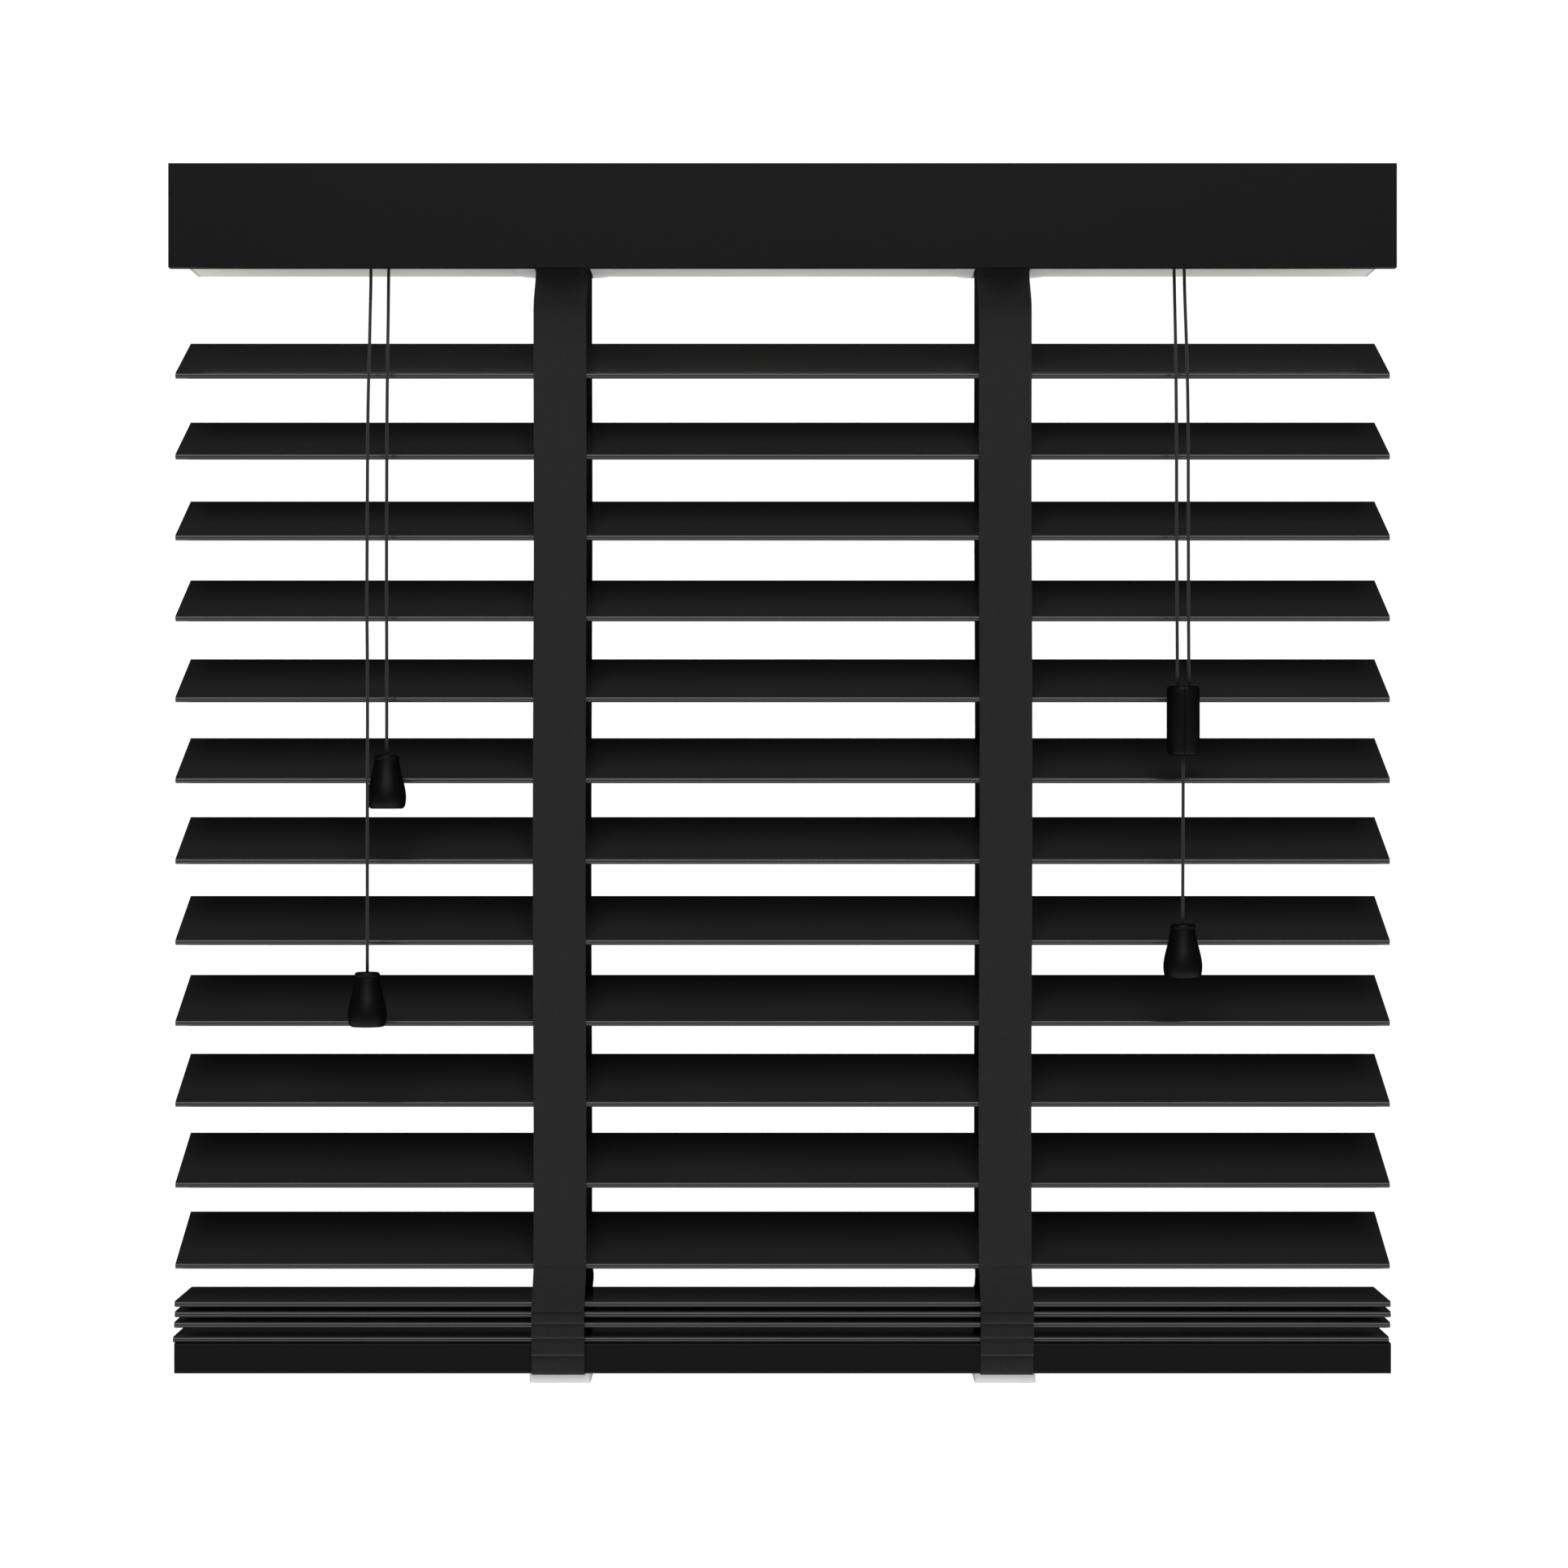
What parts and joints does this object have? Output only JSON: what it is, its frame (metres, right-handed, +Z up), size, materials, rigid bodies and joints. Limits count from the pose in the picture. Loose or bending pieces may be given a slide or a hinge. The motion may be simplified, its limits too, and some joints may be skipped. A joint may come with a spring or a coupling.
{
  "type": "venetian blind",
  "caption": "Black wooden venetian blind with wide woven ladder tapes, a flat valance, corded tilt and lift controls and a gathered stack on its bottom rail.",
  "frame": {"origin": "centre of the ceiling face of the two brackets, midway between their four ceiling screw holes", "axes": "+X to the right along the slats, -Y to the room where the valance and cords are, +Z up"},
  "size_m": [0.6009, 0.095, 0.5996],
  "materials": {
    "slat": "black satin lacquer",
    "valance": "black matt lacquer",
    "bottom_rail": "black matt lacquer",
    "tape": "black woven herringbone",
    "cord": "black braided",
    "tassel": "black matt",
    "headrail": "warm light grey enamel",
    "headrail_plastic": "warm light grey",
    "guide_plastic": "pale grey",
    "white_plastic": "off white",
    "cream_plastic": "acetal cream",
    "black_plastic": "black",
    "clear_plastic": "translucent white",
    "clip_plastic": "pale grey",
    "steel": "zinc plated",
    "brass": "knurled"
  },
  "bodies": {
    "headrail": {"mounting_brackets": "steel", "valance": "valance", "valance_clips": "clear_plastic", "headrail": "headrail", "headrail_end_caps": "headrail_plastic", "tape_guides": "guide_plastic", "drum_cradles": "white_plastic", "tilter_housing": "black_plastic", "cord_lock_housing": "white_plastic", "lift_cords": "cord", "tilt_cord_front": "cord", "tilt_cord_rear": "cord", "lift_cord_left": "cord", "lift_cord_right": "cord"},
    "tilt_shaft": {"tilt_rod": "steel", "tape_drums": "white_plastic", "tilter_wheel": "cream_plastic"},
    "tilter_worm": {"tilter_worm": "cream_plastic"},
    "lock_roller": {"cord_lock_roller": "brass"},
    "slat_01": {"slat_01": "slat", "rungs_01": "tape"},
    "front_tapes": {"front_tapes": "tape"},
    "rear_tapes": {"rear_tapes": "tape"},
    "rungs_02": {"rungs_02": "tape"},
    "slat_02": {"slat_02": "slat"},
    "rungs_03": {"rungs_03": "tape"},
    "slat_03": {"slat_03": "slat"},
    "rungs_04": {"rungs_04": "tape"},
    "slat_04": {"slat_04": "slat"},
    "rungs_05": {"rungs_05": "tape"},
    "slat_05": {"slat_05": "slat"},
    "rungs_06": {"rungs_06": "tape"},
    "slat_06": {"slat_06": "slat"},
    "rungs_07": {"rungs_07": "tape"},
    "slat_07": {"slat_07": "slat"},
    "rungs_08": {"rungs_08": "tape"},
    "slat_08": {"slat_08": "slat"},
    "rungs_09": {"rungs_09": "tape"},
    "slat_09": {"slat_09": "slat"},
    "rungs_10": {"rungs_10": "tape"},
    "slat_10": {"slat_10": "slat"},
    "rungs_11": {"rungs_11": "tape"},
    "slat_11": {"slat_11": "slat"},
    "slat_12": {"slat_12": "slat", "rungs_12": "tape"},
    "bottom_rail": {"bottom_rail": "bottom_rail", "bottom_rail_caps": "bottom_rail", "bottom_clips": "clip_plastic", "slat_13": "slat", "slat_14": "slat", "slat_15": "slat", "slat_16": "slat", "stack_rungs": "tape", "tape_folds": "tape"},
    "tilt_tassel_front": {"tilt_tassel_front": "tassel"},
    "tilt_tassel_rear": {"tilt_tassel_rear": "tassel"},
    "lift_pull": {"cord_connector": "tassel", "lift_cord_single": "cord", "lift_tassel": "tassel"}
  },
  "joints": [
    {"name": "tilt", "type": "hinge", "parent": "headrail", "child": "tilt_shaft", "pos_m": [0, 0, -0.022], "axis": [1, 0, 0], "range_deg": [-177.08, 72.92]},
    {"name": "worm_turn", "type": "hinge", "parent": "headrail", "child": "tilter_worm", "pos_m": [-0.1988, 0, -0.034], "axis": [0, -1, 0], "range_deg": [-2126, 876]},
    {"name": "tilt_01", "type": "hinge", "parent": "headrail", "child": "slat_01", "pos_m": [0, 0, -0.092], "axis": [1, 0, 0], "range_deg": [-85.5, 35.5]},
    {"name": "front_tape_hang", "type": "hinge", "parent": "slat_01", "child": "front_tapes", "pos_m": [0, -0.0213, -0.10193], "axis": [1, 0, 0], "range_deg": [-35.5, 85.5]},
    {"name": "rear_tape_hang", "type": "hinge", "parent": "slat_01", "child": "rear_tapes", "pos_m": [0, 0.0213, -0.08207], "axis": [1, 0, 0], "range_deg": [-35.5, 85.5]},
    {"name": "lift", "type": "slide", "parent": "headrail", "child": "bottom_rail", "axis": [0, 0, 1], "range_m": [0, 0.352], "deforming": ["front_tapes", "rear_tapes", "lift_cords"]},
    {"name": "rise_02", "type": "slide", "parent": "headrail", "child": "rungs_02", "axis": [0, 0, 1], "range_m": [-0.001, 0.033]},
    {"name": "tilt_02", "type": "hinge", "parent": "rungs_02", "child": "slat_02", "pos_m": [0, 0, -0.132], "axis": [1, 0, 0], "range_deg": [-85.5, 35.5], "deforming": ["rungs_02"]},
    {"name": "rise_03", "type": "slide", "parent": "headrail", "child": "rungs_03", "axis": [0, 0, 1], "range_m": [-0.001, 0.065]},
    {"name": "tilt_03", "type": "hinge", "parent": "rungs_03", "child": "slat_03", "pos_m": [0, 0, -0.172], "axis": [1, 0, 0], "range_deg": [-85.5, 35.5], "deforming": ["rungs_03"]},
    {"name": "rise_04", "type": "slide", "parent": "headrail", "child": "rungs_04", "axis": [0, 0, 1], "range_m": [-0.001, 0.097]},
    {"name": "tilt_04", "type": "hinge", "parent": "rungs_04", "child": "slat_04", "pos_m": [0, 0, -0.212], "axis": [1, 0, 0], "range_deg": [-85.5, 35.5], "deforming": ["rungs_04"]},
    {"name": "rise_05", "type": "slide", "parent": "headrail", "child": "rungs_05", "axis": [0, 0, 1], "range_m": [-0.001, 0.129]},
    {"name": "tilt_05", "type": "hinge", "parent": "rungs_05", "child": "slat_05", "pos_m": [0, 0, -0.252], "axis": [1, 0, 0], "range_deg": [-85.5, 35.5], "deforming": ["rungs_05"]},
    {"name": "rise_06", "type": "slide", "parent": "headrail", "child": "rungs_06", "axis": [0, 0, 1], "range_m": [-0.001, 0.161]},
    {"name": "tilt_06", "type": "hinge", "parent": "rungs_06", "child": "slat_06", "pos_m": [0, 0, -0.292], "axis": [1, 0, 0], "range_deg": [-85.5, 35.5], "deforming": ["rungs_06"]},
    {"name": "rise_07", "type": "slide", "parent": "headrail", "child": "rungs_07", "axis": [0, 0, 1], "range_m": [-0.001, 0.193]},
    {"name": "tilt_07", "type": "hinge", "parent": "rungs_07", "child": "slat_07", "pos_m": [0, 0, -0.332], "axis": [1, 0, 0], "range_deg": [-85.5, 35.5], "deforming": ["rungs_07"]},
    {"name": "rise_08", "type": "slide", "parent": "headrail", "child": "rungs_08", "axis": [0, 0, 1], "range_m": [-0.001, 0.225]},
    {"name": "tilt_08", "type": "hinge", "parent": "rungs_08", "child": "slat_08", "pos_m": [0, 0, -0.372], "axis": [1, 0, 0], "range_deg": [-85.5, 35.5], "deforming": ["rungs_08"]},
    {"name": "rise_09", "type": "slide", "parent": "headrail", "child": "rungs_09", "axis": [0, 0, 1], "range_m": [-0.001, 0.257]},
    {"name": "tilt_09", "type": "hinge", "parent": "rungs_09", "child": "slat_09", "pos_m": [0, 0, -0.412], "axis": [1, 0, 0], "range_deg": [-85.5, 35.5], "deforming": ["rungs_09"]},
    {"name": "rise_10", "type": "slide", "parent": "headrail", "child": "rungs_10", "axis": [0, 0, 1], "range_m": [-0.001, 0.289]},
    {"name": "tilt_10", "type": "hinge", "parent": "rungs_10", "child": "slat_10", "pos_m": [0, 0, -0.452], "axis": [1, 0, 0], "range_deg": [-85.5, 35.5], "deforming": ["rungs_10"]},
    {"name": "rise_11", "type": "slide", "parent": "headrail", "child": "rungs_11", "axis": [0, 0, 1], "range_m": [-0.001, 0.321]},
    {"name": "tilt_11", "type": "hinge", "parent": "rungs_11", "child": "slat_11", "pos_m": [0, 0, -0.492], "axis": [1, 0, 0], "range_deg": [-85.5, 35.5], "deforming": ["rungs_11"]},
    {"name": "tilt_12", "type": "hinge", "parent": "bottom_rail", "child": "slat_12", "pos_m": [0, 0, -0.532], "axis": [1, 0, 0], "range_deg": [-85.5, 35.5]},
    {"name": "tilt_pull_front", "type": "slide", "parent": "headrail", "child": "tilt_tassel_front", "axis": [0, 0, 1], "range_m": [-0.0682, 0.16419], "deforming": ["tilt_cord_front"]},
    {"name": "tilt_pull_rear", "type": "slide", "parent": "headrail", "child": "tilt_tassel_rear", "axis": [0, 0, 1], "range_m": [-0.16419, 0.0682], "deforming": ["tilt_cord_rear"]},
    {"name": "lift_pull", "type": "slide", "parent": "headrail", "child": "lift_pull", "axis": [0, 0, 1], "range_m": [-0.353, 0.001], "deforming": ["lift_cord_left", "lift_cord_right"]},
    {"name": "lock_roll", "type": "hinge", "parent": "headrail", "child": "lock_roller", "pos_m": [0.1957, -0.014, -0.031], "axis": [1, 0, 0], "continuous": true}
  ],
  "couplings": [
    {"joint": "worm_turn", "follows": "tilt", "ratio": 12},
    {"joint": "tilt_01", "follows": "tilt", "ratio": 0.48},
    {"joint": "front_tape_hang", "follows": "tilt", "ratio": -0.48},
    {"joint": "rear_tape_hang", "follows": "tilt", "ratio": -0.48},
    {"joint": "rise_02", "follows": "lift", "ratio": 0.090909},
    {"joint": "tilt_02", "follows": "tilt", "ratio": 0.48},
    {"joint": "rise_03", "follows": "lift", "ratio": 0.18182},
    {"joint": "tilt_03", "follows": "tilt", "ratio": 0.48},
    {"joint": "rise_04", "follows": "lift", "ratio": 0.27273},
    {"joint": "tilt_04", "follows": "tilt", "ratio": 0.48},
    {"joint": "rise_05", "follows": "lift", "ratio": 0.36364},
    {"joint": "tilt_05", "follows": "tilt", "ratio": 0.48},
    {"joint": "rise_06", "follows": "lift", "ratio": 0.45454},
    {"joint": "tilt_06", "follows": "tilt", "ratio": 0.48},
    {"joint": "rise_07", "follows": "lift", "ratio": 0.54546},
    {"joint": "tilt_07", "follows": "tilt", "ratio": 0.48},
    {"joint": "rise_08", "follows": "lift", "ratio": 0.63636},
    {"joint": "tilt_08", "follows": "tilt", "ratio": 0.48},
    {"joint": "rise_09", "follows": "lift", "ratio": 0.72727},
    {"joint": "tilt_09", "follows": "tilt", "ratio": 0.48},
    {"joint": "rise_10", "follows": "lift", "ratio": 0.81818},
    {"joint": "tilt_10", "follows": "tilt", "ratio": 0.48},
    {"joint": "rise_11", "follows": "lift", "ratio": 0.90909},
    {"joint": "tilt_11", "follows": "tilt", "ratio": 0.48},
    {"joint": "tilt_12", "follows": "tilt", "ratio": 0.48},
    {"joint": "tilt_pull_front", "follows": "tilt", "m_per_rad": -0.0528},
    {"joint": "tilt_pull_rear", "follows": "tilt", "m_per_rad": 0.0528},
    {"joint": "lift_pull", "follows": "lift", "ratio": -1}
  ]
}
